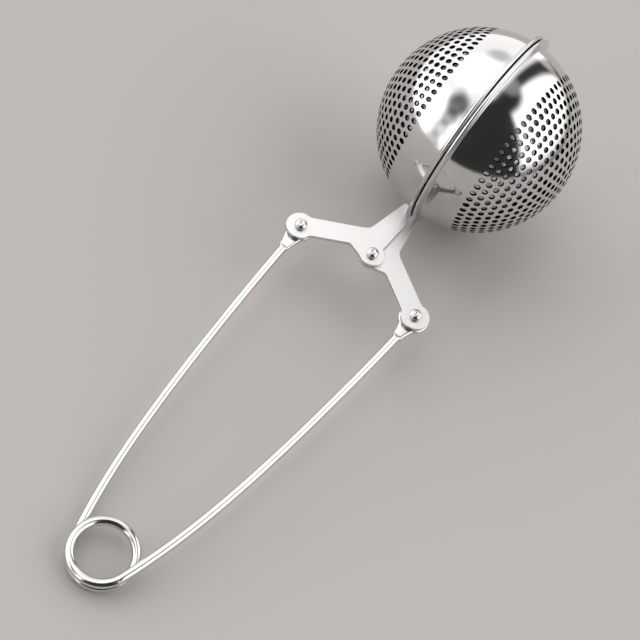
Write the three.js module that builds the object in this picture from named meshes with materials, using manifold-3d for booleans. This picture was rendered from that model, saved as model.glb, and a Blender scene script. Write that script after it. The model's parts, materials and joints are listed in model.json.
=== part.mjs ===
// Ball tea infuser: two half-ball shells held shut by a sprung wire handle.
// Millimetres, +Z up. The tool lies on a flat surface: the ball's rim and the finger ring both
// touch z = 0, +X runs from the ring towards the ball, and the two shells part along Y.
import * as THREE from 'three';
import * as BufferGeometryUtils from 'three/addons/utils/BufferGeometryUtils.js';
import Module from 'manifold-3d';

const wasm = await Module();
wasm.setup();

// ---- driving dimensions ------------------------------------------------------------------
// Tool frame: the main pivot is the origin, u (X) points to the ball, v (Y) is sideways,
// and w (Z) is the normal of the arm plates, with w = 0 on the top face of the upper arm.
const BALL_RADIUS = 25;
const WALL = 0.6;
const BALL_U = 43.5;           // pivot to ball centre, along u
const BALL_W = 6;             // ball centre above the top face of the upper arm
const RIM_RADIUS = 27;        // outer edge of the folded rims
const RIM_THICKNESS = 1.0;
const RIM_CHAMFER = 0.25;
const RIM_GAP = 0.3;          // between the two rims when the ball is shut

const ARM_THICKNESS = 0.9;
const ARM_WIDTH = 5.0;
const ARM_OFFSET = 4.35;      // distance from the pivot to the centreline of the side arm
const EYE_U = -5.67;          // outer rivets, relative to the pivot
const EYE_V = 16.98;
const EYE_RADIUS = 3.45;
const LOBE_RADIUS = 3.05;     // round end of each arm about the main pivot
const LAYER_GAP = 0.2;        // between stacked sheets
const FIT_GAP = 0.25;         // between an arm's tip and the shell that it is welded to

const WIRE_RADIUS = 1.0;
const COIL_U = -93.9;         // ring centre
const COIL_RADIUS = 6.7;      // to the wire's centreline
const COIL_PITCH = 2.4;
const COIL_W = -2.4;          // mid-height of the ring
const LEG_ANGLE = 17.2;       // degrees: slope of each leg where it leaves the ring
const LEG_END_SLOPE = 0.031;  // slope of each leg where it meets its rivet
const LEG_BOW = 11.0;         // pulls the middle of each leg in; sets how soon it straightens
const FLAT_THICKNESS = 1.05;  // flattened wire ends
const FLAT_LENGTH = 6.6;      // from the rivet to where the flattening starts
const FLAT_EYE_RADIUS = 3.7;
const JOIN_GAP = 0.3;         // between the handle's solids

const SHANK_RADIUS = 0.95;
const SHANK_CLEARANCE = 0.15;
const HEAD_RADIUS = 1.5;
const HEAD_HEIGHT = 1.2;
const TAIL_RADIUS = 1.7;
const TAIL_HEIGHT = 0.6;
const OPEN_PIVOT_SLACK = 0.8; // extra hole radius in the right leg's eye
const OPEN_TAIL_RADIUS = 2.5; // tail that still covers that wider hole

// ---- levels, from the top of the upper arm downwards -------------------------------------
const upperTop = 0;
const lowerTop = upperTop - ARM_THICKNESS - LAYER_GAP;
const leftEyeTop = lowerTop;
const rightEyeTop = lowerTop - ARM_THICKNESS - LAYER_GAP;
const leftEyeMid = leftEyeTop - FLAT_THICKNESS / 2;
const rightEyeMid = rightEyeTop - FLAT_THICKNESS / 2;

// ---- materials ---------------------------------------------------------------------------
function steel(color, roughness) {
  return new THREE.MeshStandardMaterial({ color, roughness, metalness: 1 });
}

// ---- booleans ----------------------------------------------------------------------------
function toSolid(geometry) {
  const plain = geometry.index ? geometry.toNonIndexed() : geometry.clone();
  plain.deleteAttribute('normal');
  plain.deleteAttribute('uv');
  const merged = BufferGeometryUtils.mergeVertices(plain, 1e-4);
  return new wasm.Manifold(new wasm.Mesh({
    numProp: 3,
    vertProperties: new Float32Array(merged.attributes.position.array),
    triVerts: new Uint32Array(merged.index.array),
  }));
}

function toGeometry(solid) {
  const mesh = solid.getMesh();
  const geometry = new THREE.BufferGeometry();
  geometry.setAttribute('position', new THREE.BufferAttribute(mesh.vertProperties, 3));
  geometry.setIndex(new THREE.BufferAttribute(mesh.triVerts, 1));
  geometry.computeVertexNormals();
  return geometry;
}

// Upright cylinder between two levels, on the axis through (u, v).
function post(radius, bottom, top, u, v, segments = 28) {
  const geometry = new THREE.CylinderGeometry(radius, radius, top - bottom, segments);
  geometry.rotateX(Math.PI / 2);
  geometry.translate(u, v, (top + bottom) / 2);
  return geometry;
}

// ---- shells ------------------------------------------------------------------------------
// Half-ball bowl with a folded rim, turned about Y with its mouth towards -Y.
function shellGeometry() {
  const inner = BALL_RADIUS - WALL;
  const mouth = RIM_GAP / 2;
  const shoulder = mouth + RIM_THICKNESS;
  const outerSteps = 12;
  const innerSteps = 9;
  const profile = [];
  const outerStart = Math.asin(shoulder / BALL_RADIUS);
  for (let i = 0; i <= outerSteps; i += 1) {
    const angle = Math.PI / 2 + (outerStart - Math.PI / 2) * (i / outerSteps);
    const radius = i === 0 ? 0 : BALL_RADIUS * Math.cos(angle);
    profile.push(new THREE.Vector2(radius, BALL_RADIUS * Math.sin(angle)));
  }
  profile.push(new THREE.Vector2(RIM_RADIUS - RIM_CHAMFER, shoulder));
  profile.push(new THREE.Vector2(RIM_RADIUS, shoulder - RIM_CHAMFER));
  profile.push(new THREE.Vector2(RIM_RADIUS, mouth + RIM_CHAMFER));
  profile.push(new THREE.Vector2(RIM_RADIUS - RIM_CHAMFER, mouth));
  const innerStart = Math.asin(mouth / inner);
  for (let i = 0; i <= innerSteps; i += 1) {
    const angle = innerStart + (Math.PI / 2 - innerStart) * (i / innerSteps);
    const radius = i === innerSteps ? 0 : inner * Math.cos(angle);
    profile.push(new THREE.Vector2(radius, inner * Math.sin(angle)));
  }
  return new THREE.LatheGeometry(profile.reverse(), 56);
}

// ---- arms --------------------------------------------------------------------------------
// Stamped bell crank, drawn for the arm that carries the shell on +v.
function armOutline() {
  const along = new THREE.Vector2(-0.532, 0.8467).normalize();   // pivot end to eye end
  const across = new THREE.Vector2(along.y, -along.x);            // towards the ball
  const edge = (offset, distance) => across.clone().multiplyScalar(offset)
    .add(along.clone().multiplyScalar(distance));
  const ballSide = ARM_OFFSET + ARM_WIDTH / 2;
  const handleSide = ARM_OFFSET - ARM_WIDTH / 2;
  const eye = new THREE.Vector2(EYE_U, EYE_V);
  const eyeDistance = eye.dot(along);
  const eyeAngle = Math.atan2(along.y, along.x);
  const neckInner = -1.27;
  const neckAngle = Math.asin(neckInner / LOBE_RADIUS);
  const corner = new THREE.Vector2(5.45, 4.45);
  const bend = edge(ballSide, 2.7);
  const fillet = 3.6;

  const shape = new THREE.Shape();
  shape.moveTo(LOBE_RADIUS * Math.cos(2.8), LOBE_RADIUS * Math.sin(2.8));
  shape.absarc(0, 0, LOBE_RADIUS, 2.8, neckAngle + 2 * Math.PI, false);
  shape.lineTo(12.2, neckInner);
  shape.quadraticCurveTo(13.2, neckInner, 13.8, -0.5);
  shape.quadraticCurveTo(14.8, 0.6, 16.6, 0.95);
  shape.quadraticCurveTo(17.5, 1.1, 17.45, 1.8);
  shape.quadraticCurveTo(17.3, 2.5, 16.3, 2.48);
  shape.lineTo(corner.x + 0.7, corner.y - 0.13);
  shape.quadraticCurveTo(corner.x, corner.y, bend.x, bend.y);
  const ballEnd = edge(ballSide, eyeDistance - fillet);
  shape.lineTo(ballEnd.x, ballEnd.y);
  const turn = 0.92;
  const onEye = (angle) => new THREE.Vector2(
    eye.x + EYE_RADIUS * Math.cos(angle),
    eye.y + EYE_RADIUS * Math.sin(angle),
  );
  const eyeStart = onEye(eyeAngle - Math.PI + turn + 0.6);
  const eyeEnd = onEye(eyeAngle + Math.PI - turn - 0.6);
  const ballFillet = edge(ballSide, eyeDistance - fillet / 1.75);
  shape.quadraticCurveTo(ballFillet.x, ballFillet.y, eyeStart.x, eyeStart.y);
  const startAngle = eyeAngle - Math.PI + turn + 0.6;
  const endAngle = eyeAngle + Math.PI - turn - 0.6;
  shape.absarc(eye.x, eye.y, EYE_RADIUS, startAngle, endAngle, false);
  shape.lineTo(eyeEnd.x, eyeEnd.y);
  const handleFillet = edge(handleSide, eyeDistance - fillet / 1.75);
  const handleEnd = edge(handleSide, eyeDistance - fillet);
  shape.quadraticCurveTo(handleFillet.x, handleFillet.y, handleEnd.x, handleEnd.y);
  const handleBend = edge(handleSide, 6.6);
  shape.lineTo(handleBend.x, handleBend.y);
  shape.quadraticCurveTo(-1.0, 5.0, -1.62, 3.3);
  return shape.getPoints(10);
}

function armGeometry(side, top) {
  const points = armOutline().map((p) => new THREE.Vector2(p.x, p.y * side));
  const plate = new THREE.ExtrudeGeometry(new THREE.Shape(points), {
    depth: ARM_THICKNESS,
    bevelEnabled: false,
  });
  plate.translate(0, 0, top - ARM_THICKNESS);
  const hole = SHANK_RADIUS + SHANK_CLEARANCE;
  const ball = new THREE.SphereGeometry(BALL_RADIUS + FIT_GAP, 96, 64);
  ball.translate(BALL_U, 0, BALL_W);
  const rimDepth = 2 * (RIM_GAP / 2 + RIM_THICKNESS + FIT_GAP);
  const rim = new THREE.CylinderGeometry(RIM_RADIUS + FIT_GAP, RIM_RADIUS + FIT_GAP, rimDepth, 144);
  rim.translate(BALL_U, 0, BALL_W);
  const solid = toSolid(plate)
    .subtract(toSolid(post(hole, top - 3, top + 1, 0, 0)))
    .subtract(toSolid(post(hole, top - 3, top + 1, EYE_U, EYE_V * side)))
    .subtract(toSolid(ball))
    .subtract(toSolid(rim));
  return toGeometry(solid);
}

// ---- wire handle -------------------------------------------------------------------------
const legSlope = THREE.MathUtils.degToRad(LEG_ANGLE);
const coilStart = Math.PI / 2 + legSlope;
const coilSweep = 3 * Math.PI - 2 * legSlope;
const coilRise = COIL_PITCH * coilSweep / (2 * Math.PI);
const coilLow = COIL_W - coilRise / 2;
const coilHigh = COIL_W + coilRise / 2;

function wireSection(sides) {
  const points = [];
  for (let i = 0; i < sides; i += 1) {
    const angle = 2 * Math.PI * (i + 0.5) / sides;
    points.push(new THREE.Vector2(WIRE_RADIUS * Math.cos(angle), WIRE_RADIUS * Math.sin(angle)));
  }
  return new THREE.Shape(points);
}

class RingCurve extends THREE.Curve {
  getPoint(t, target = new THREE.Vector3()) {
    const trim = JOIN_GAP / 2 / COIL_RADIUS;
    const turned = trim + (coilSweep - 2 * trim) * t;
    const angle = coilStart + turned;
    return target.set(
      COIL_U + COIL_RADIUS * Math.cos(angle),
      COIL_RADIUS * Math.sin(angle),
      coilLow + coilRise * turned / coilSweep,
    );
  }
}

function ringGeometry() {
  return new THREE.ExtrudeGeometry(wireSection(12), {
    steps: 64,
    bevelEnabled: false,
    extrudePath: new RingCurve(),
  });
}

// Bowed leg from the ring (t = 0) to its rivet (t = 1), bent most near the ring.
function legPoint(side, t) {
  const startU = COIL_U - COIL_RADIUS * Math.sin(legSlope);
  const startV = COIL_RADIUS * Math.cos(legSlope);
  const startW = side > 0 ? coilLow : coilHigh;
  const endW = side > 0 ? leftEyeMid : rightEyeMid;
  const span = EYE_U - startU;
  const blend = t * t * (3 - 2 * t);
  const v = startV + (EYE_V - startV) * blend
    + Math.tan(legSlope) * span * t * (1 - t) * (1 - t)
    - LEG_END_SLOPE * span * t * t * (1 - t)
    - LEG_BOW * t * t * (1 - t) * (1 - t);
  return new THREE.Vector3(startU + span * t, side * v, startW + (endW - startW) * blend);
}

function smooth(from, to, x) {
  const t = THREE.MathUtils.clamp((x - from) / (to - from), 0, 1);
  return t * t * (3 - 2 * t);
}

// Round wire swept along the leg, pressed flat and spread sideways towards the rivet.
function legGeometry(side, eyeTop, holeRadius) {
  const steps = 44;
  const bar = new THREE.ExtrudeGeometry(wireSection(12), { steps, depth: 1, bevelEnabled: false });
  const position = bar.attributes.position;
  const span = EYE_U - (COIL_U - COIL_RADIUS * Math.sin(legSlope));
  const firstT = JOIN_GAP / 2 / span;
  const lastT = 1 - 1.6 / span;
  const bendT = 1 - (FLAT_LENGTH + 3) / span;
  const place = new THREE.Vector3();
  for (let i = 0; i < position.count; i += 1) {
    const station = position.getZ(i);
    // half of the stations lie in the short flattened stretch
    const t = station < 0.6
      ? firstT + (bendT - firstT) * (station / 0.6)
      : bendT + (lastT - bendT) * ((station - 0.6) / 0.4);
    const point = legPoint(side, t);
    const ahead = legPoint(side, t + 1e-3).sub(point).normalize();
    const sideways = new THREE.Vector3(-ahead.y, ahead.x, 0).normalize();
    const upwards = new THREE.Vector3().crossVectors(ahead, sideways);
    const left = (1 - t) * span;
    const pressed = smooth(FLAT_LENGTH + 2, FLAT_LENGTH - 0.6, left);
    const spread = 1 + 0.25 * pressed + 0.85 * smooth(FLAT_LENGTH - 0.5, 2.2, left);
    const flat = 1 + (FLAT_THICKNESS / (2 * WIRE_RADIUS) - 1) * pressed;
    place.copy(point)
      .addScaledVector(sideways, position.getX(i) * spread)
      .addScaledVector(upwards, position.getY(i) * flat);
    position.setXYZ(i, place.x, place.y, place.z);
  }
  const bottom = eyeTop - FLAT_THICKNESS;
  const disc = post(FLAT_EYE_RADIUS, bottom, eyeTop, EYE_U, EYE_V * side, 40);
  const hole = post(holeRadius, bottom - 2, eyeTop + 2, EYE_U, EYE_V * side);
  const headroom = new THREE.BoxGeometry(12, 12, 4);
  headroom.translate(EYE_U, EYE_V * side, eyeTop + 2.001);
  const solid = toSolid(bar)
    .add(toSolid(disc))
    .subtract(toSolid(hole))
    .subtract(toSolid(headroom));
  return toGeometry(solid);
}

// ---- rivets ------------------------------------------------------------------------------
function rivetGeometry(u, v, headSeat, tailSeat, tailRadius) {
  const head = headSeat + LAYER_GAP / 2;
  const tail = tailSeat - LAYER_GAP / 2;
  const wallHeight = 0.55 * HEAD_HEIGHT;
  const profile = [[0, tail - TAIL_HEIGHT], [tailRadius - 0.25, tail - TAIL_HEIGHT],
    [tailRadius, tail - TAIL_HEIGHT + 0.25], [tailRadius, tail], [SHANK_RADIUS, tail],
    [SHANK_RADIUS, head], [HEAD_RADIUS, head]];
  const domeSteps = 4;
  for (let i = 0; i <= domeSteps; i += 1) {
    const angle = Math.PI / 2 * (i / domeSteps);
    const radius = i === domeSteps ? 0 : HEAD_RADIUS * Math.cos(angle);
    profile.push([radius, head + wallHeight + (HEAD_HEIGHT - wallHeight) * Math.sin(angle)]);
  }
  const points = profile.map(([radius, level]) => new THREE.Vector2(radius, level));
  const geometry = new THREE.LatheGeometry(points, 24);
  geometry.rotateX(Math.PI / 2);
  geometry.translate(u, v, 0);
  return geometry;
}

// ---- assembly ----------------------------------------------------------------------------
const tool = new THREE.Group();

function piece(name, geometry, material, parent = tool) {
  const mesh = new THREE.Mesh(geometry, material);
  mesh.name = name;
  parent.add(mesh);
  return mesh;
}

const leftShell = piece('left_shell', shellGeometry(), steel(0xd9dadc, 0.12));
leftShell.position.set(BALL_U, 0, BALL_W);
const rightShell = piece('right_shell', shellGeometry(), steel(0xd9dadc, 0.12));
rightShell.position.set(BALL_U, 0, BALL_W);
rightShell.rotation.x = Math.PI;

piece('upper_arm', armGeometry(1, upperTop), steel(0xe4e4e5, 0.2));
piece('lower_arm', armGeometry(-1, lowerTop), steel(0xe4e4e5, 0.2));

const wireSteel = () => steel(0xdedfe0, 0.14);
piece('handle_coil', ringGeometry(), wireSteel());
const closeHole = SHANK_RADIUS + SHANK_CLEARANCE;
piece('handle_left_leg', legGeometry(1, leftEyeTop, closeHole), wireSteel());
piece('handle_right_leg', legGeometry(-1, rightEyeTop, closeHole + OPEN_PIVOT_SLACK), wireSteel());

const rivetSteel = () => steel(0xc9cacc, 0.22);
const lowerBottom = lowerTop - ARM_THICKNESS;
piece('pivot_rivet', rivetGeometry(0, 0, upperTop, lowerBottom, TAIL_RADIUS), rivetSteel());
piece('left_rivet', rivetGeometry(EYE_U, EYE_V, upperTop,
  leftEyeTop - FLAT_THICKNESS, TAIL_RADIUS), rivetSteel());
piece('right_rivet', rivetGeometry(EYE_U, -EYE_V, lowerTop,
  rightEyeTop - FLAT_THICKNESS, OPEN_TAIL_RADIUS), rivetSteel());

// ---- resting pose: tip the tool until the rim and the ring touch the same level -----------
function lowest(mesh, tilt) {
  mesh.updateMatrix();
  const point = new THREE.Vector3();
  const position = mesh.geometry.attributes.position;
  let low = Infinity;
  for (let i = 0; i < position.count; i += 1) {
    point.fromBufferAttribute(position, i).applyMatrix4(mesh.matrix);
    low = Math.min(low, point.x * Math.sin(tilt) + point.z * Math.cos(tilt));
  }
  return low;
}

const ring = tool.getObjectByName('handle_coil');
let tiltLow = 0;
let tiltHigh = 0.4;
for (let i = 0; i < 40; i += 1) {
  const tilt = (tiltLow + tiltHigh) / 2;
  const ballLow = Math.min(lowest(leftShell, tilt), lowest(rightShell, tilt));
  if (lowest(ring, tilt) > ballLow) tiltLow = tilt;
  else tiltHigh = tilt;
}
tool.rotation.y = -(tiltLow + tiltHigh) / 2;

const infuser = new THREE.Group();
infuser.add(tool);
infuser.updateMatrixWorld(true);
const bounds = new THREE.Box3().setFromObject(infuser, true);
const middle = bounds.getCenter(new THREE.Vector3());
tool.position.set(-middle.x, -middle.y, -bounds.min.z);

export default infuser;
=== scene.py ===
"""Ball tea infuser of polished stainless steel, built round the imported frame.

The tool frame used below has its origin at the main pivot: u points to the ball, v sideways
to the left shell, and w is the normal of the arm plates, with w = 0 on the upper arm's top
face. Lengths are in millimetres until tool() turns them into metres of the part's frame.
"""
import json
import math

import bpy
import numpy as np
from mathutils import Matrix, Vector
from mathutils.geometry import delaunay_2d_cdt


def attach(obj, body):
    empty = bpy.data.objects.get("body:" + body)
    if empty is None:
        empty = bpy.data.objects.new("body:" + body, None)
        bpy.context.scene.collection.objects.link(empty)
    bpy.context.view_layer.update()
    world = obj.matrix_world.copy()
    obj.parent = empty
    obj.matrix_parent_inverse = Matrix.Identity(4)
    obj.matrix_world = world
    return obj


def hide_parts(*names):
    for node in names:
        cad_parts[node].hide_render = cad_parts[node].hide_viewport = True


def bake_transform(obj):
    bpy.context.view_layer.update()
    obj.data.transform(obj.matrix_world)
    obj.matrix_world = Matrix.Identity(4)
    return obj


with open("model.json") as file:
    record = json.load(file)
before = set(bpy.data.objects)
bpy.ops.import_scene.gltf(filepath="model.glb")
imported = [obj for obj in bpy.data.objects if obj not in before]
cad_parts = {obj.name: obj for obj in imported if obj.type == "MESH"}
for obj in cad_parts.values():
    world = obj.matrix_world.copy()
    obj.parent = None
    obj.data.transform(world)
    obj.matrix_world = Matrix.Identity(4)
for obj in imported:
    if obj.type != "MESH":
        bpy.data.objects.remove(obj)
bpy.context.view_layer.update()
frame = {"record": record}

MM = 0.001

# ---- dimensions shared with the CAD part, in millimetres ----------------------------------
BALL_RADIUS = 25.0
WALL = 0.5
RIM_RADIUS = 27.0
RIM_THICKNESS = 1.0
RIM_GAP = 0.3
BALL_U, BALL_W = 43.5, 6.0

ARM_THICKNESS = 0.9
ARM_WIDTH = 5.0
ARM_OFFSET = 4.35            # from the pivot to the middle line of the arm's straight part
ARM_ROUNDING = 0.09          # of the stamped edges
EYE_U, EYE_V, EYE_RADIUS = -5.67, 16.98, 3.45
LOBE_RADIUS = 3.05
LAYER_GAP = 0.2

WIRE_RADIUS = 0.995
COIL_U, COIL_RADIUS, COIL_PITCH, COIL_W = -93.9, 6.7, 2.4, -2.4
LEG_ANGLE = math.radians(17.2)
LEG_END_SLOPE = 0.031
LEG_BOW = 11.0
FLAT_THICKNESS = 1.05
FLAT_LENGTH = 6.6
FLAT_EYE_RADIUS = {1: 3.3, -1: 3.65}
SHANK_RADIUS = 0.95
HEAD_RADIUS, HEAD_HEIGHT = 1.5, 1.2
TAIL_RADIUS, OPEN_TAIL_RADIUS, TAIL_HEIGHT = 1.7, 2.5, 0.6
CLOSE_HOLE, OPEN_HOLE = 1.1, 1.9

UPPER_TOP = 0.0
LOWER_TOP = UPPER_TOP - ARM_THICKNESS - LAYER_GAP
LEFT_EYE_TOP = LOWER_TOP
RIGHT_EYE_TOP = LOWER_TOP - ARM_THICKNESS - LAYER_GAP

# ---- tool frame ---------------------------------------------------------------------------
joints = {j["name"]: j for j in frame["record"]["behaviour"]["joints"]}
NORMAL = Vector(joints["left_eye"]["axis"]).normalized()
ALONG = Vector((NORMAL.z, 0.0, -NORMAL.x))
SIDE = Vector((0.0, 1.0, 0.0))
PIVOT = Vector(joints["jaw_pivot"]["pos_m"])
TOOL = np.array([ALONG, SIDE, NORMAL])


def tool(points):
    """Tool-frame millimetres to metres of the part's frame."""
    return np.asarray(points, float) @ TOOL * MM + np.array(PIVOT)


def tool_normals(normals):
    return np.asarray(normals, float) @ TOOL


# ---- mesh helpers -------------------------------------------------------------------------
def make_object(name, verts, faces, corner_normals=None):
    mesh = bpy.data.meshes.new(name)
    mesh.from_pydata([tuple(v) for v in verts], [], faces)
    mesh.validate(clean_customdata=False)
    mesh.update()
    mesh.polygons.foreach_set("use_smooth", [True] * len(mesh.polygons))
    if corner_normals is not None:
        mesh.normals_split_custom_set([tuple(n) for n in corner_normals])
    obj = bpy.data.objects.new(name, mesh)
    bpy.context.scene.collection.objects.link(obj)
    return obj


def soften(obj, degrees):
    """Smooth shading that keeps edges sharper than this angle."""
    obj.data.set_sharp_from_angle(angle=math.radians(degrees))


def apply_modifiers(obj):
    graph = bpy.context.evaluated_depsgraph_get()
    mesh = bpy.data.meshes.new_from_object(obj.evaluated_get(graph))
    mesh.name = obj.name
    obj.modifiers.clear()
    obj.data = mesh


def lathe(profile, segments, axis_point):
    """Vertices and faces of a turned solid. profile runs from the axis back to the axis."""
    verts, faces, rings = [], [], []
    for radius, level in profile:
        if radius < 1e-6:
            rings.append([len(verts)] * segments)
            verts.append((0.0, 0.0, level))
            continue
        ring = []
        for i in range(segments):
            angle = 2 * math.pi * i / segments
            ring.append(len(verts))
            verts.append((radius * math.cos(angle), radius * math.sin(angle), level))
        rings.append(ring)
    for low, high in zip(rings, rings[1:]):
        for i in range(segments):
            j = (i + 1) % segments
            quad = [low[i], low[j], high[j], high[i]]
            face = [q for k, q in enumerate(quad) if q not in quad[:k]]
            if len(face) > 2:
                faces.append(face)
    verts = np.array(verts) + np.array(axis_point)
    return verts, faces


def smoothstep(low, high, x):
    t = min(1.0, max(0.0, (x - low) / (high - low)))
    return t * t * (3 - 2 * t)


# ---- perforated shells --------------------------------------------------------------------
FIRST_ROW = {"left": 25.6, "right": 23.9}   # degrees from the rim plane to the first row
ROW_STEP = 5.04                             # degrees between rows
ROW_ZERO = 93.6                             # where the count of holes in a row would reach 0
HOLES_PER_DEGREE = 1.08
HOLE_PITCH_LEAST = 2.02
ROW_START = {"left": 117.0, "right": 132.0}
HOLE_RADIUS = 0.575
HOLE_STRETCH = 0.231                # drawing the sheet lengthens the holes nearest the rim
STRETCH_FROM, STRETCH_TO = -2.0, 14.0   # degrees above the first row over which it fades
LAST_ROW_SPACE = 0.55               # least room left round the pole, in row steps
HOLE_SIDES = 14
EDGE_BELOW_ROW = 2.9                # degrees from the first row to the plain band
BAND_SIDES = 144
BAND_END, MOUTH_END = 3.6, 0.9      # degrees where the band meets the rim, outside and inside
RIM_FILLET = 0.32
RIM_ROUNDING = 0.62                 # how far the rim's edge bulges, in half thicknesses
PROFILE_STEPS = 8


def hole_centres(side):
    """Unit vectors to one shell's holes, pole on +Y, and how far each hole is stretched."""
    centres, stretch = [], []
    latitude = FIRST_ROW[side]
    while 90 - latitude > LAST_ROW_SPACE * ROW_STEP:
        lat = math.radians(latitude)
        around = 2 * math.pi * BALL_RADIUS * math.cos(lat)
        count = min(round(HOLES_PER_DEGREE * (ROW_ZERO - latitude)),
                    int(around / HOLE_PITCH_LEAST))
        near = 1 - smoothstep(STRETCH_FROM, STRETCH_TO, latitude - FIRST_ROW[side])
        for k in range(count):
            turn = math.radians(ROW_START[side]) + 2 * math.pi * k / count
            centres.append((math.cos(lat) * math.cos(turn), math.sin(lat),
                            math.cos(lat) * math.sin(turn)))
            stretch.append(1 + HOLE_STRETCH * near)
        latitude += ROW_STEP
    centres.append((0.0, 1.0, 0.0))
    stretch.append(1.0)
    return np.array(centres), np.array(stretch)


def around_holes(centres, stretch, beyond, depth):
    """Ovals of points a distance beyond each hole's edge, and their outward directions."""
    radius = BALL_RADIUS - depth
    first = np.cross([0.0, 1.0, 0.0], centres)
    first[np.linalg.norm(first, axis=1) < 1e-9] = (1.0, 0.0, 0.0)
    first /= np.linalg.norm(first, axis=1)[:, None]
    second = np.cross(centres, first)
    turn = 2 * np.pi * np.arange(HOLE_SIDES) / HOLE_SIDES
    wide = (HOLE_RADIUS / stretch + beyond)[:, None] * np.cos(turn)
    tall = (HOLE_RADIUS * stretch + beyond)[:, None] * np.sin(turn)
    away = np.hypot(wide, tall)
    outward = (first[:, None, :] * (wide / away)[..., None]
               + second[:, None, :] * (tall / away)[..., None])
    arc = (away / BALL_RADIUS)[..., None]
    unit = centres[:, None, :] * np.cos(arc) + outward * np.sin(arc)
    along = outward * np.cos(arc) - centres[:, None, :] * np.sin(arc)
    return unit * radius, unit, along


def band_profile(cap_edge):
    """Turned section of the plain band and rim: (radius, level, normal radius, level)."""
    inner = BALL_RADIUS - WALL
    mouth = RIM_GAP / 2
    back = mouth + RIM_THICKNESS
    outer_end, inner_start = math.radians(BAND_END), math.radians(MOUTH_END)
    profile = []
    for k in range(PROFILE_STEPS + 1):
        latitude = cap_edge + (outer_end - cap_edge) * k / PROFILE_STEPS
        c, s = math.cos(latitude), math.sin(latitude)
        profile.append((BALL_RADIUS * c, BALL_RADIUS * s, c, s))
    # the fillet starts a hair inside the ball, so that the band runs into it
    for k in range(1, 5):
        turn = math.radians(90 * k / 4)
        c, s = math.cos(turn), math.sin(turn)
        profile.append((BALL_RADIUS - 0.03 + RIM_FILLET * (1 - c), back + RIM_FILLET * (1 - s),
                        c, s))
    edge = RIM_THICKNESS / 2
    bulge = RIM_ROUNDING * edge
    for k in range(PROFILE_STEPS + 1):
        turn = math.radians(90 - 180 * k / PROFILE_STEPS)
        c, s = math.cos(turn), math.sin(turn)
        profile.append((RIM_RADIUS - bulge + bulge * c, mouth + edge + edge * s, c, s))
    # the mouth's inner edge is broken by a small bevel
    profile.append((inner + 0.35, mouth, 0.0, -1.0))
    profile.append((inner + 0.06, mouth + 0.08, -0.7, -0.7))
    for k in range(PROFILE_STEPS + 1):
        latitude = inner_start + (cap_edge - inner_start) * k / PROFILE_STEPS
        c, s = math.cos(latitude), math.sin(latitude)
        profile.append((inner * c, inner * s, -c, -s))
    return profile


def shell_mesh(side):
    """One half ball round the origin, pole on +Y: vertices, faces and vertex normals."""
    centres, stretch = hole_centres(side)
    count = len(centres)
    # rings from the undisturbed outer surface, down the hole, to the inner surface:
    # (distance beyond the hole's edge, depth below the outer surface, lean of the normal)
    rings = [(0.17, 0.0, 0.0), (0.07, 0.012, 14.0), (0.018, 0.05, 50.0), (0.0, 0.10, 88.0),
             (0.0, WALL - 0.05, 92.0), (0.06, WALL, 180.0)]
    verts, normals = [], []
    for beyond, depth, lean in rings:
        points, unit, along = around_holes(centres, stretch, beyond, depth)
        tilt = math.radians(lean)
        verts.append(points.reshape(-1, 3))
        normals.append((unit * math.cos(tilt) - along * math.sin(tilt)).reshape(-1, 3))
    per_ring = count * HOLE_SIDES
    faces = []
    for level in range(len(rings) - 1):
        low, high = level * per_ring, (level + 1) * per_ring
        for hole in range(count):
            base = hole * HOLE_SIDES
            for i in range(HOLE_SIDES):
                j = (i + 1) % HOLE_SIDES
                faces.append((low + base + i, high + base + i, high + base + j, low + base + j))

    profile = band_profile(math.radians(FIRST_ROW[side] - EDGE_BELOW_ROW))
    band_start = len(rings) * per_ring
    turn = 2 * np.pi * np.arange(BAND_SIDES) / BAND_SIDES
    for radius, level, normal_radius, normal_level in profile:
        verts.append(np.stack([radius * np.cos(turn), np.full(BAND_SIDES, level),
                               radius * np.sin(turn)], 1))
        normals.append(np.stack([normal_radius * np.cos(turn),
                                 np.full(BAND_SIDES, normal_level),
                                 normal_radius * np.sin(turn)], 1))
    for row in range(len(profile) - 1):
        low = band_start + row * BAND_SIDES
        high = low + BAND_SIDES
        for i in range(BAND_SIDES):
            j = (i + 1) % BAND_SIDES
            faces.append((low + i, low + j, high + j, high + i))

    points = np.concatenate(verts)
    normals = np.concatenate(normals)
    normals /= np.linalg.norm(normals, axis=1)[:, None]
    last_ring = (len(rings) - 1) * per_ring
    last_band = band_start + (len(profile) - 1) * BAND_SIDES
    outer_ids = list(range(per_ring)) + list(range(band_start, band_start + BAND_SIDES))
    inner_ids = (list(range(last_ring, last_ring + per_ring))
                 + list(range(last_band, last_band + BAND_SIDES)))
    for a, b, c in sheet_triangles(points[outer_ids], count):
        faces.append((outer_ids[a], outer_ids[b], outer_ids[c]))
        faces.append((inner_ids[c], inner_ids[b], inner_ids[a]))
    return points, faces, normals


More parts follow.
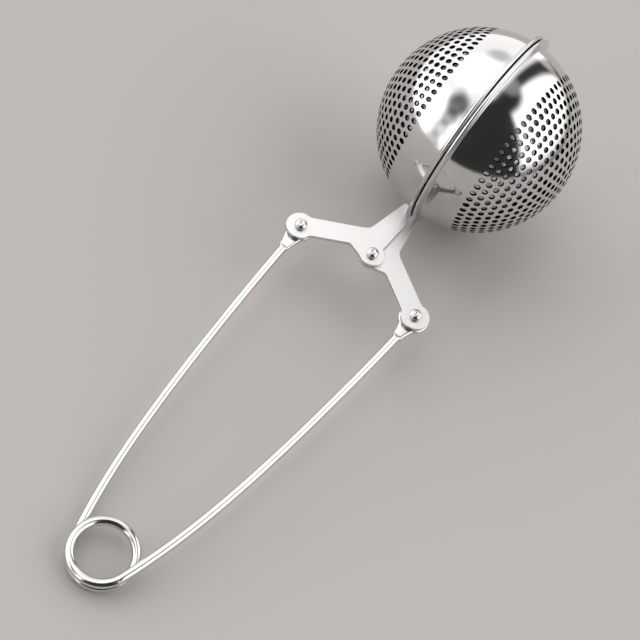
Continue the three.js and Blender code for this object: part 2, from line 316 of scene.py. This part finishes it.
def sheet_triangles(border, count):
    """Triangles of sheet between the holes, worked out flat round the pole."""
    per_ring = count * HOLE_SIDES
    unit = border / np.linalg.norm(border, axis=1)[:, None]
    from_pole = np.arccos(np.clip(unit[:, 1], -1, 1))
    spread = np.hypot(unit[:, 0], unit[:, 2]) + 1e-12
    flat = [Vector((from_pole[i] * unit[i, 0] / spread[i], from_pole[i] * unit[i, 2] / spread[i]))
            for i in range(len(unit))]
    edges = []
    for hole in range(count):
        base = hole * HOLE_SIDES
        edges += [(base + i, base + (i + 1) % HOLE_SIDES) for i in range(HOLE_SIDES)]
    edges += [(per_ring + i, per_ring + (i + 1) % BAND_SIDES) for i in range(BAND_SIDES)]
    _, _, triangles, origins, _, _ = delaunay_2d_cdt(flat, edges, [], 0, 1e-7)
    origin = [o[0] if o else -1 for o in origins]
    kept = []
    for triangle in triangles:
        a, b, c = (origin[i] for i in triangle)
        if min(a, b, c) < 0:
            continue
        if len({i // HOLE_SIDES if i < per_ring else -1 - i for i in (a, b, c)}) == 1:
            continue
        p, q, r = border[a], border[b], border[c]
        kept.append((c, b, a) if np.dot(np.cross(q - p, r - p), p) < 0 else (a, b, c))
    return kept


def build_shells():
    made = []
    for side, flip, body in (("left", 1.0, "left_jaw"), ("right", -1.0, "right_jaw")):
        points, faces, normals = shell_mesh(side)
        mirror = np.array([1.0, flip, 1.0])
        if flip < 0:
            faces = [face[::-1] for face in faces]
        placed = tool(points * mirror + np.array([BALL_U, 0.0, BALL_W]))
        leaned = tool_normals(normals * mirror)
        corners = [leaned[i] for face in faces for i in face]
        obj = make_object("perforated_shell_" + side, placed, faces, corners)
        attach(obj, body)
        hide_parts(side + "_shell")
        made.append(obj)
    return made


# ---- arms ---------------------------------------------------------------------------------
def quadratic(a, b, c, steps):
    out = []
    for k in range(1, steps + 1):
        t = k / steps
        out.append(((1 - t) ** 2 * a[0] + 2 * t * (1 - t) * b[0] + t * t * c[0],
                    (1 - t) ** 2 * a[1] + 2 * t * (1 - t) * b[1] + t * t * c[1]))
    return out


def arc(centre, radius, start, end, steps):
    return [(centre[0] + radius * math.cos(start + (end - start) * k / steps),
             centre[1] + radius * math.sin(start + (end - start) * k / steps))
            for k in range(steps + 1)]


ARM_HEADING = (-0.532, 0.8467)       # u and v of the straight part's direction, to the eye
NECK_INNER = -1.27                   # v of the neck's straight edge, on the other arm's side
NECK_END = 12.2                      # u where that edge stops
# bend and end of each curve from there, by a step in the edge, round the tip
TIP_CURVES = (((13.2, NECK_INNER), (13.8, -0.5)), ((14.8, 0.6), (16.6, 0.95)),
              ((17.5, 1.1), (17.45, 1.8)), ((17.3, 2.5), (16.3, 2.48)))
BALL_CORNER, BALL_CORNER_END = (5.45, 4.45), 2.7
HANDLE_CORNER_START, HANDLE_CORNER, HANDLE_CORNER_END = 6.0, 5.2, (-1.46, 4.8)
LOBE_RUN_IN, LOBE_BEND = (-2.0, 2.95), (-2.45, 1.75)
LOBE_START = 2.8                     # radians round the lobe
EYE_OPENING = 1.2                    # radians of the eye's circle that the arm takes, each side
EYE_FILLET = 2.9                     # how far before the eye's centre the sides start to flare


def arm_outline():
    """The stamped bell crank that carries the left shell, anticlockwise."""
    length = math.hypot(*ARM_HEADING)
    along = (ARM_HEADING[0] / length, ARM_HEADING[1] / length)
    across = (along[1], -along[0])   # towards the ball

    def edge(offset, distance):
        return (across[0] * offset + along[0] * distance,
                across[1] * offset + along[1] * distance)

    ball_side = ARM_OFFSET + ARM_WIDTH / 2
    handle_side = ARM_OFFSET - ARM_WIDTH / 2
    eye = (EYE_U, EYE_V)
    reach = eye[0] * along[0] + eye[1] * along[1]
    eye_angle = math.atan2(along[1], along[0])
    neck_angle = math.asin(NECK_INNER / LOBE_RADIUS)
    points = arc((0, 0), LOBE_RADIUS, LOBE_START, neck_angle + 2 * math.pi, 28)
    points.append((NECK_END, NECK_INNER))
    for bend, end in TIP_CURVES:
        points += quadratic(points[-1], bend, end, 6)

    before = (BALL_CORNER[0] + 0.7, BALL_CORNER[1] - 0.13)
    points.append(before)
    points += quadratic(before, BALL_CORNER, edge(ball_side, BALL_CORNER_END), 8)

    start, end = eye_angle - math.pi + EYE_OPENING, eye_angle + math.pi - EYE_OPENING
    eye_arc = arc(eye, EYE_RADIUS, start, end, 26)
    fillet_end, fillet_bend = reach - EYE_FILLET, reach - EYE_FILLET / 1.5
    points.append(edge(ball_side, fillet_end))
    points += quadratic(points[-1], edge(ball_side, fillet_bend), eye_arc[0], 8)
    points += eye_arc[1:]
    points += quadratic(eye_arc[-1], edge(handle_side, fillet_bend),
                        edge(handle_side, fillet_end), 8)

    points.append(edge(handle_side, HANDLE_CORNER_START))
    points += quadratic(points[-1], edge(handle_side, HANDLE_CORNER), HANDLE_CORNER_END, 6)
    points.append(LOBE_RUN_IN)
    points += quadratic(LOBE_RUN_IN, LOBE_BEND, points[0], 5)[:-1]
    return points


def plate(name, outline, holes, top, thickness, rounding):
    """A flat sheet with rounded edges: a filled 2-D curve with a bevel, made into a mesh."""
    curve = bpy.data.curves.new(name, "CURVE")
    curve.dimensions = "2D"
    curve.fill_mode = "BOTH"
    curve.bevel_resolution = 3
    curve.bevel_depth = rounding
    curve.offset = -rounding
    curve.extrude = thickness / 2 - rounding
    loops = [outline] + [arc(c, r, 0, 2 * math.pi, 36)[:-1] for c, r in holes]
    for loop in loops:
        spline = curve.splines.new("POLY")
        spline.points.add(len(loop) - 1)
        for point, (x, y) in zip(spline.points, loop):
            point.co = (x, y, 0.0, 1.0)
        spline.use_cyclic_u = True
    source = bpy.data.objects.new(name, curve)
    bpy.context.scene.collection.objects.link(source)
    graph = bpy.context.evaluated_depsgraph_get()
    flat = bpy.data.meshes.new_from_object(source.evaluated_get(graph))
    verts = np.array([v.co for v in flat.vertices])
    faces = [tuple(p.vertices) for p in flat.polygons]
    bpy.data.objects.remove(source)
    bpy.data.curves.remove(curve)
    bpy.data.meshes.remove(flat)
    return weld(verts + np.array([0.0, 0.0, top - thickness / 2]), faces)


def weld(verts, faces):
    """Merges vertices that share a place, and drops faces that fold up."""
    places = 5   # decimals of a millimetre
    keys, index, kept = {}, [], []
    for v in verts:
        key = tuple(np.round(v, places) + 0.0)
        if key not in keys:
            keys[key] = len(kept)
            kept.append(v)
        index.append(keys[key])
    out = []
    for face in faces:
        ids = [index[i] for i in face]
        ids = [q for k, q in enumerate(ids) if q not in ids[:k]]
        if len(ids) > 2:
            out.append(tuple(ids))
    return np.array(kept), out


def plate_normals(verts, faces):
    """Vertex normals that keep the sheet's two faces flat and round only its edge."""
    total = np.zeros_like(verts)
    flat = np.zeros(len(verts))
    for face in faces:
        p = verts[list(face)]
        area = sum(np.cross(p[i] - p[0], p[i + 1] - p[0]) for i in range(1, len(p) - 1))
        size = np.linalg.norm(area)
        if size < 1e-12:
            continue
        if abs(area[2]) > 0.999 * size:
            flat[list(face)] = np.sign(area[2])
        else:
            total[list(face)] += area / size
    total[flat != 0] = 0.0
    total[:, 2] += flat
    return total / np.maximum(np.linalg.norm(total, axis=1), 1e-9)[:, None]


def build_arms():
    outline = arm_outline()
    made = []
    for name, side, top, body, node in (("arm_upper", 1, UPPER_TOP, "left_jaw", "upper_arm"),
                                        ("arm_lower", -1, LOWER_TOP, "right_jaw", "lower_arm")):
        shape = [(x, y * side) for x, y in outline][::side]
        holes = [((0.0, 0.0), CLOSE_HOLE), ((EYE_U, EYE_V * side), CLOSE_HOLE)]
        verts, faces = plate(name, shape, holes, top, ARM_THICKNESS, ARM_ROUNDING)
        leaned = tool_normals(plate_normals(np.array(verts), faces))
        obj = make_object(name, tool(verts), faces, [leaned[i] for face in faces for i in face])
        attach(obj, body)
        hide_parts(node)
        made.append(obj)
    return made


# ---- rivets -------------------------------------------------------------------------------
HEAD_SIDE = 0.42          # height of a head's straight side
DIMPLE_RADIUS = 0.52

# name, place of the axis, seat of the head, underside of the stack, tail radius, body, node
RIVETS = (
    ("rivet_main", 0.0, 0.0, UPPER_TOP, LOWER_TOP - ARM_THICKNESS, TAIL_RADIUS,
     "left_jaw", "pivot_rivet"),
    ("rivet_left", EYE_U, EYE_V, UPPER_TOP, LEFT_EYE_TOP - FLAT_THICKNESS, TAIL_RADIUS,
     "left_jaw", "left_rivet"),
    ("rivet_right", EYE_U, -EYE_V, LOWER_TOP, RIGHT_EYE_TOP - FLAT_THICKNESS, OPEN_TAIL_RADIUS,
     "right_jaw", "right_rivet"),
)


def rivet_profile(seat, low, tail):
    """Half section of a rivet, from the middle of its tail up to its dimpled head."""
    bottom, top = low - TAIL_HEIGHT, seat + HEAD_HEIGHT
    profile = [(0, bottom + 0.08), (0.5 * tail, bottom), (tail - 0.3, bottom + 0.03),
               (tail - 0.1, bottom + 0.13), (tail, bottom + 0.3), (tail - 0.02, low),
               (SHANK_RADIUS, low), (SHANK_RADIUS, seat), (HEAD_RADIUS - 0.05, seat + 0.01),
               (HEAD_RADIUS, seat + 0.08), (HEAD_RADIUS, seat + HEAD_SIDE)]
    for k in range(1, 8):
        turn = math.radians(90 * k / 8)
        profile.append((DIMPLE_RADIUS + (HEAD_RADIUS - DIMPLE_RADIUS) * math.cos(turn),
                        seat + HEAD_SIDE + (HEAD_HEIGHT - HEAD_SIDE) * math.sin(turn)))
    profile += [(0.50, top - 0.01), (0.42, top - 0.05), (0.30, top - 0.10),
                (0.15, top - 0.12), (0, top - 0.125)]
    return profile


def build_rivets():
    made = []
    for name, u, v, seat, under, tail, body, node in RIVETS:
        verts, faces = lathe(rivet_profile(seat, under - LAYER_GAP / 4, tail), 48, (u, v, 0))
        obj = make_object(name, tool(verts), faces)
        soften(obj, 50)
        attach(obj, body)
        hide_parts(node)
        made.append(obj)
    return made


# ---- wire handle --------------------------------------------------------------------------
COIL_SWEEP = 3 * math.pi - 2 * LEG_ANGLE
COIL_RISE = COIL_PITCH * COIL_SWEEP / (2 * math.pi)
COIL_LOW, COIL_HIGH = COIL_W - COIL_RISE / 2, COIL_W + COIL_RISE / 2
LEG_START_U = COIL_U - COIL_RADIUS * math.sin(LEG_ANGLE)
LEG_START_V = COIL_RADIUS * math.cos(LEG_ANGLE)
LEG_SPAN = EYE_U - LEG_START_U
WIRE_SIDES = 24
ROUND_POWER, PRESSED_POWER = 2.0, 3.5   # superellipse power, and what pressing adds to it
COIL_STEPS = 150
EASE_REACH = 5.0           # levels are averaged over this length each way
EASE_FROM = 75.0           # and beyond this distance from the rivet


def leg_point(side, t):
    """Centre line of a leg: t is 0 where it leaves the ring and 1 at the rivet."""
    start_w = COIL_LOW if side > 0 else COIL_HIGH
    end_w = (LEFT_EYE_TOP if side > 0 else RIGHT_EYE_TOP) - FLAT_THICKNESS / 2
    ease = t * t * (3 - 2 * t) if t < 1 else 1.0
    v = LEG_START_V + (EYE_V - LEG_START_V) * ease
    if t < 1:
        v += (math.tan(LEG_ANGLE) * LEG_SPAN * t * (1 - t) ** 2
              - LEG_END_SLOPE * LEG_SPAN * t * t * (1 - t) - LEG_BOW * t * t * (1 - t) ** 2)
    else:
        v += LEG_END_SLOPE * LEG_SPAN * (t - 1)
    return (LEG_START_U + LEG_SPAN * t, side * v, start_w + (end_w - start_w) * ease)


def leg_stations(side):
    """Values of t from the ring to past the rivet: sparse on the leg, close in the flat end."""
    far = 1 - (FLAT_LENGTH + 1.6) / LEG_SPAN
    coarse = [far * k / 52 for k in range(52)]
    end = 1 + FLAT_EYE_RADIUS[side] / LEG_SPAN
    fine = [far + (end - far) * k / 60 for k in range(61)]
    return coarse + fine


def wire_path():
    """Points along the whole wire and, for each, the distance left to its rivet, or None."""
    path = [(leg_point(1, t), (1 - t) * LEG_SPAN) for t in reversed(leg_stations(1))]
    for k in range(1, COIL_STEPS):
        turned = COIL_SWEEP * k / COIL_STEPS
        angle = math.pi / 2 + LEG_ANGLE + turned
        path.append(((COIL_U + COIL_RADIUS * math.cos(angle), COIL_RADIUS * math.sin(angle),
                      COIL_LOW + COIL_RISE * turned / COIL_SWEEP), None))
    path += [(leg_point(-1, t), (1 - t) * LEG_SPAN) for t in leg_stations(-1)]
    points = np.array([p for p, _ in path])
    # ease the change of slope where the legs run into the ring
    travel = np.concatenate([[0], np.cumsum(np.linalg.norm(np.diff(points, axis=0), axis=1))])
    level = points[:, 2].copy()
    for i in range(len(points)):
        if path[i][1] is None or EASE_FROM < path[i][1] < LEG_SPAN:
            near = np.abs(travel - travel[i]) < EASE_REACH
            weight = np.cos((travel[near] - travel[i]) / EASE_REACH * np.pi / 2) ** 2
            level[i] = (points[near, 2] * weight).sum() / weight.sum()
    points[:, 2] = level
    return points, [left for _, left in path]


def wire_section(left, eye_radius):
    """Half width, half height and squareness of the wire at a distance left to its rivet."""
    if left is None:
        return WIRE_RADIUS, WIRE_RADIUS, ROUND_POWER
    pressed = smoothstep(FLAT_LENGTH + 0.55, FLAT_LENGTH - 0.35, left)
    tall = WIRE_RADIUS + (FLAT_THICKNESS / 2 - WIRE_RADIUS) * pressed
    spread = smoothstep(FLAT_LENGTH - 0.5, 2.4, left)
    half = WIRE_RADIUS * (1 + 0.27 * pressed + 0.75 * spread)
    if left < eye_radius:
        round_end = math.sqrt(max(0.0, eye_radius ** 2 - left ** 2))
        half = max(half if left > 1.5 else 0.0, round_end)
    return max(half, 0.02), tall, ROUND_POWER + PRESSED_POWER * pressed


def wire_mesh():
    """The wire swept along its path, flattened into an eye at each end."""
    points, left = wire_path()
    ahead = np.gradient(points, axis=0)
    ahead /= np.linalg.norm(ahead, axis=1)[:, None]
    up = np.array([0.0, 0.0, 1.0])
    verts, faces = [], []
    for i, point in enumerate(points):
        tangent = ahead[i]
        if left[i] is not None and left[i] < 1.0:   # level round the rivet
            tangent = ahead[i].copy()
            tangent[2] = 0.0
            tangent /= np.linalg.norm(tangent)
        side = np.cross(up, tangent)
        side /= np.linalg.norm(side)
        rise = np.cross(tangent, side)
        half, tall, power = wire_section(left[i], FLAT_EYE_RADIUS[1 if point[1] > 0 else -1])
        for k in range(WIRE_SIDES):
            turn = 2 * math.pi * (k + 0.5) / WIRE_SIDES
            c, s = math.cos(turn), math.sin(turn)
            x = half * math.copysign(abs(c) ** (2 / power), c)
            y = tall * math.copysign(abs(s) ** (2 / power), s)
            verts.append(point + side * x + rise * y)
    count = len(points)
    for i in range(count - 1):
        near, far = i * WIRE_SIDES, (i + 1) * WIRE_SIDES
        for k in range(WIRE_SIDES):
            j = (k + 1) % WIRE_SIDES
            faces.append((near + k, near + j, far + j, far + k))
    faces.append(tuple(range(WIRE_SIDES))[::-1])
    faces.append(tuple((count - 1) * WIRE_SIDES + k for k in range(WIRE_SIDES)))
    return verts, faces


def build_handle():
    verts, faces = wire_mesh()
    obj = make_object("wire_handle", tool(verts), faces)
    fix_winding(obj)
    for side, radius, top in ((1, CLOSE_HOLE, LEFT_EYE_TOP), (-1, OPEN_HOLE, RIGHT_EYE_TOP)):
        profile = [(0, top - 3), (radius, top - 3), (radius, top + 2), (0, top + 2)]
        drill_verts, drill_faces = lathe(profile, 40, (EYE_U, EYE_V * side, 0))
        drill = make_object("drill", tool(drill_verts), drill_faces)
        cut = obj.modifiers.new("hole", "BOOLEAN")
        cut.operation = "DIFFERENCE"
        cut.solver = "EXACT"
        cut.object = drill
        apply_modifiers(obj)
        bpy.data.objects.remove(drill)
    obj.data.polygons.foreach_set("use_smooth", [True] * len(obj.data.polygons))
    soften(obj, 42)
    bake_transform(obj)
    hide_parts("handle_coil", "handle_left_leg", "handle_right_leg")
    return obj


def fix_winding(obj):
    """Turns a closed mesh's faces outwards."""
    mesh = obj.data
    volume = 0.0
    for polygon in mesh.polygons:
        a = mesh.vertices[polygon.vertices[0]].co
        for b, c in zip(polygon.vertices[1:], polygon.vertices[2:]):
            volume += a.dot(mesh.vertices[b].co.cross(mesh.vertices[c].co))
    if volume < 0:
        mesh.flip_normals()


# ---- materials ----------------------------------------------------------------------------
SMUDGE_SCALE = 90.0      # per metre
SMUDGE_TONE = 0.93       # tone of a smudge, as a share of the clean steel's
GRAIN_DEPTH = 0.00002    # metres

# tone, roughness, how far smudges raise it, grain per metre, strength of the grain
STEELS = {
    "shell_steel": ((0.72, 0.715, 0.715), 0.07, 0.06, 2600.0, 0.15),
    "arm_steel": ((0.78, 0.775, 0.77), 0.30, 0.10, 3000.0, 0.35),
    "rivet_steel": ((0.66, 0.66, 0.66), 0.16, 0.10, 3500.0, 0.35),
    "wire_steel": ((0.72, 0.72, 0.72), 0.12, 0.07, 3000.0, 0.2),
}


def steel(name):
    """Polished steel: smudges change its tone and gloss, and a fine grain roughens it."""
    tone, roughness, spread, grain_scale, bump = STEELS[name]
    material = bpy.data.materials.new(name)
    material.use_nodes = True
    nodes, links = material.node_tree.nodes, material.node_tree.links
    shader = nodes["Principled BSDF"]
    shader.inputs["Metallic"].default_value = 1.0
    where = nodes.new("ShaderNodeTexCoord")

    def noise(size, detail, rough):
        node = nodes.new("ShaderNodeTexNoise")
        node.inputs["Scale"].default_value = size
        node.inputs["Detail"].default_value = detail
        node.inputs["Roughness"].default_value = rough
        links.new(where.outputs["Object"], node.inputs["Vector"])
        return node

    smudge = noise(SMUDGE_SCALE, 4.0, 0.55)
    fine = noise(grain_scale, 3.0, 0.6)
    colour = nodes.new("ShaderNodeValToRGB")
    colour.color_ramp.elements[0].position = 0.35
    colour.color_ramp.elements[1].position = 0.7
    colour.color_ramp.elements[0].color = (*[c * SMUDGE_TONE for c in tone], 1)
    colour.color_ramp.elements[1].color = (*tone, 1)
    links.new(smudge.outputs["Fac"], colour.inputs["Fac"])
    links.new(colour.outputs["Color"], shader.inputs["Base Color"])
    rough = nodes.new("ShaderNodeMapRange")
    rough.inputs["From Min"].default_value = 0.3
    rough.inputs["From Max"].default_value = 0.72
    rough.inputs["To Min"].default_value = roughness
    rough.inputs["To Max"].default_value = roughness + spread
    links.new(smudge.outputs["Fac"], rough.inputs["Value"])
    links.new(rough.outputs["Result"], shader.inputs["Roughness"])
    dent = nodes.new("ShaderNodeBump")
    dent.inputs["Strength"].default_value = bump
    dent.inputs["Distance"].default_value = GRAIN_DEPTH
    links.new(fine.outputs["Fac"], dent.inputs["Height"])
    links.new(dent.outputs["Normal"], shader.inputs["Normal"])
    return material


def set_material(objs, material):
    for obj in objs:
        obj.data.materials.clear()
        obj.data.materials.append(material)


# ---- camera, stage and light --------------------------------------------------------------
CAMERA_TARGET = Vector((-0.00785, -0.00158, 0.015))   # metres
CAMERA_DISTANCE = 0.29009                             # metres
CAMERA_ANGLES = (-77.148, 53.351, 27.409)   # azimuth, elevation and roll in degrees
CAMERA_LENS = 73.1


def build_camera():
    azimuth, elevation, roll = (math.radians(a) for a in CAMERA_ANGLES)
    ahead = Vector((math.sin(-azimuth) * math.cos(elevation),
                    math.cos(azimuth) * math.cos(elevation), -math.sin(elevation)))
    camera = bpy.data.cameras.new("camera")
    camera.lens = CAMERA_LENS
    camera.clip_start = 0.01
    obj = bpy.data.objects.new("camera", camera)
    turn = ahead.to_track_quat("-Z", "Y").to_matrix().to_4x4()
    obj.matrix_world = (Matrix.Translation(CAMERA_TARGET - ahead * CAMERA_DISTANCE) @ turn
                        @ Matrix.Rotation(roll, 4, "Z"))
    bpy.context.scene.collection.objects.link(obj)
    bpy.context.scene.camera = obj


FLOOR_REACH = 30.0       # metres
FLOOR_COLOUR = (0.47, 0.455, 0.435, 1)


def build_floor():
    signs = ((-1, -1), (1, -1), (1, 1), (-1, 1))
    corners = [(x * FLOOR_REACH, y * FLOOR_REACH, 0) for x, y in signs]
    floor = make_object("floor", corners, [(0, 1, 2, 3)])
    material = bpy.data.materials.new("pale_floor")
    material.use_nodes = True
    shader = material.node_tree.nodes["Principled BSDF"]
    shader.inputs["Base Color"].default_value = FLOOR_COLOUR
    shader.inputs["Roughness"].default_value = 0.75
    set_material([floor], material)


# soft dark gaps in the left box: azimuth, elevation, core and edge in degrees, depth
DARK_PATCHES = ((138, 45, 6, 17, 0.88), (121, 47, 3, 13, 0.45), (102, 39, 2, 9, 0.35),
                (147, 31, 4, 13, 0.72), (150, 17, 4, 13, 0.62), (151, 2, 4, 13, 0.6),
                (29, 41, 2, 12, 0.42))
# brighter parts of the left box, and patches of light between the two boxes:
# azimuth, elevation, core and edge in degrees, strength
LEFT_GLOWS = ((122, 14, 22, 44, 0.75), (72, 58, 14, 30, 0.35), (163, 20, 6, 18, 0.6))
FAR_PATCHES = ((-12, 74, 2, 14, 0.30), (-1, 9, 2, 11, 0.55))
LEFT_STRENGTH, RIGHT_STRENGTH, ROOM_STRENGTH = 1.3, 1.75, 0.035
RIGHT_FACING = (0.951, -0.309)      # x and y of azimuth -18: the right box starts square to it


def build_world():
    """Two large soft boxes either side of the object in a dark studio."""
    world = bpy.data.worlds.new("studio")
    world.use_nodes = True
    bpy.context.scene.world = world
    nodes, links = world.node_tree.nodes, world.node_tree.links
    background = nodes["Background"]
    where = nodes.new("ShaderNodeTexCoord")
    part = nodes.new("ShaderNodeSeparateXYZ")
    links.new(where.outputs["Generated"], part.inputs["Vector"])

    def feather(source, dark, bright):
        node = nodes.new("ShaderNodeMapRange")
        node.interpolation_type = "SMOOTHSTEP"
        node.inputs["From Min"].default_value = min(dark, bright)
        node.inputs["From Max"].default_value = max(dark, bright)
        node.inputs["To Min"].default_value = 0.0 if dark < bright else 1.0
        node.inputs["To Max"].default_value = 1.0 if dark < bright else 0.0
        links.new(source, node.inputs["Value"])
        return node.outputs["Result"]

    def combine(kind, a, b):
        node = nodes.new("ShaderNodeMath")
        node.operation = kind
        for socket, value in zip(node.inputs, (a, b)):
            if isinstance(value, (int, float)):
                socket.default_value = value
            else:
                links.new(value, socket)
        return node.outputs["Value"]

    def spot(azimuth, elevation, near, far):
        """Soft round patch: 1 within near degrees of a direction, 0 beyond far."""
        az, el = math.radians(azimuth), math.radians(elevation)
        dot = nodes.new("ShaderNodeVectorMath")
        dot.operation = "DOT_PRODUCT"
        dot.inputs[1].default_value = (math.cos(el) * math.cos(az), math.cos(el) * math.sin(az),
                                       math.sin(el))
        links.new(where.outputs["Generated"], dot.inputs[0])
        return feather(dot.outputs["Value"], math.cos(math.radians(far)),
                       math.cos(math.radians(near)))

    x, y, z = part.outputs
    # the box on the left (+Y) reaches from the horizon to overhead, brightest low down
    edge = combine("SUBTRACT", y, combine("MULTIPLY", feather(x, -0.12, -0.42), 0.12))
    left = feather(edge, -0.03, 0.05)
    glow = 1.0
    for azimuth, elevation, near, far, strength in LEFT_GLOWS:
        patch = combine("MULTIPLY", spot(azimuth, elevation, near, far), strength)
        glow = combine("ADD", glow, patch)
    left = combine("MULTIPLY", left, glow)
    for azimuth, elevation, near, far, depth in DARK_PATCHES:
        patch = combine("MULTIPLY", spot(azimuth, elevation, near, far), depth)
        left = combine("MULTIPLY", left, combine("SUBTRACT", 1.0, patch))
    # the box on the right (-Y) is lower and smaller, with a dark gap above and before it
    beside = combine("ADD", combine("MULTIPLY", x, RIGHT_FACING[0]),
                     combine("MULTIPLY", y, RIGHT_FACING[1]))
    right = combine("MULTIPLY", feather(y, -0.13, -0.24), feather(beside, -0.06, 0.06))
    right = combine("MULTIPLY", right, feather(z, 0.95, 0.88))
    right = combine("MULTIPLY", right, feather(z, -0.05, 0.30))
    light = combine("ADD", combine("MULTIPLY", left, LEFT_STRENGTH),
                    combine("MULTIPLY", right, RIGHT_STRENGTH))
    for azimuth, elevation, near, far, strength in FAR_PATCHES:
        patch = combine("MULTIPLY", spot(azimuth, elevation, near, far), strength)
        light = combine("ADD", light, patch)
    light = combine("ADD", light, ROOM_STRENGTH)
    links.new(light, background.inputs["Strength"])
    background.inputs["Color"].default_value = (1.0, 0.985, 0.975, 1)


build_camera()
shells = build_shells()
arms = build_arms()
rivets = build_rivets()
handle = build_handle()
set_material(shells, steel("shell_steel"))
set_material(arms, steel("arm_steel"))
set_material(rivets, steel("rivet_steel"))
set_material([handle], steel("wire_steel"))
build_floor()
build_world()
bpy.context.scene.view_settings.view_transform = "Standard"
